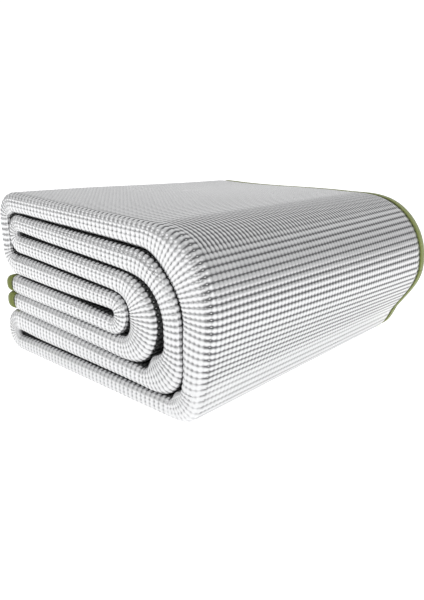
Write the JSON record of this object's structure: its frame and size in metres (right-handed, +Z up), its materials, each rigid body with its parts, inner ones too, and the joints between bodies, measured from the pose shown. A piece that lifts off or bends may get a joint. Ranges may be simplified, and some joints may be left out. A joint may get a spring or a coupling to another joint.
{
  "type": "foam sleeping pad",
  "caption": "Foil-faced closed-cell foam sleeping mat, folded in two along its length and then folded flat into a layered pack for carrying, with a bound edge.",
  "frame": {"origin": "middle of the pack's footprint, on the surface it lies on", "axes": "+X along the folded layers towards the fold that wraps them, +Y along the folds from the closed side to the bound open side, +Z up"},
  "size_m": [0.2748, 0.3011, 0.1478],
  "materials": {
    "foil": "embossed satin foil",
    "foam": "matt closed-cell foam",
    "binding": "woven tape"
  },
  "bodies": {
    "stack": {"film_core": "foil", "tape_left_core": "binding", "tape_right_core": "binding", "foam_layer_5": "foam", "foam_turn_4_5": "foam", "foam_layer_4": "foam", "foam_wrap_low": "foam", "foam_wrap_side": "foam", "foam_wrap_high": "foam", "foam_layer_1": "foam", "film_nest": "foil", "tape_left_nest": "binding", "tape_right_nest": "binding", "foam_layer_2": "foam", "foam_turn_2_3": "foam", "foam_layer_3": "foam", "foam_turn_3_6": "foam", "foam_layer_6": "foam", "end_tape_upper": "binding", "end_tape_lower": "binding"},
    "wall": {"film_outer_shoulder": "foil", "tape_left_outer_shoulder": "binding", "tape_right_outer_shoulder": "binding", "foam_outer_shoulder": "foam", "film_outer_wall": "foil", "tape_left_outer_wall": "binding", "tape_right_outer_wall": "binding", "foam_outer_wall": "foam", "film_inner_wall": "foil", "tape_left_inner_wall": "binding", "tape_right_inner_wall": "binding", "foam_inner_wall": "foam", "film_inner_shoulder": "foil", "tape_left_inner_shoulder": "binding", "tape_right_inner_shoulder": "binding", "foam_inner_shoulder": "foam"},
    "flap": {"film_outer_heel": "foil", "tape_left_outer_heel": "binding", "tape_right_outer_heel": "binding", "foam_outer_heel": "foam", "film_flap": "foil", "tape_left_flap": "binding", "tape_right_flap": "binding", "foam_layer_8": "foam", "foam_turn_7_8": "foam", "foam_layer_7": "foam", "film_inner_heel": "foil", "tape_left_inner_heel": "binding", "tape_right_inner_heel": "binding", "foam_inner_heel": "foam"}
  },
  "joints": [
    {"name": "wall_open", "type": "hinge", "parent": "stack", "child": "wall", "pos_m": [0.0843, 0, 0.113], "axis": [0, -1, 0], "range_deg": [0, 90], "deforming": ["film_outer_shoulder", "foam_outer_shoulder", "tape_left_outer_shoulder", "tape_right_outer_shoulder", "film_inner_shoulder", "foam_inner_shoulder", "tape_left_inner_shoulder", "tape_right_inner_shoulder"]},
    {"name": "flap_open", "type": "hinge", "parent": "wall", "child": "flap", "pos_m": [0.0923, 0, 0.014], "axis": [0, -1, 0], "range_deg": [0, 90], "deforming": ["film_outer_heel", "foam_outer_heel", "tape_left_outer_heel", "tape_right_outer_heel", "film_inner_heel", "foam_inner_heel", "tape_left_inner_heel", "tape_right_inner_heel"]}
  ]
}
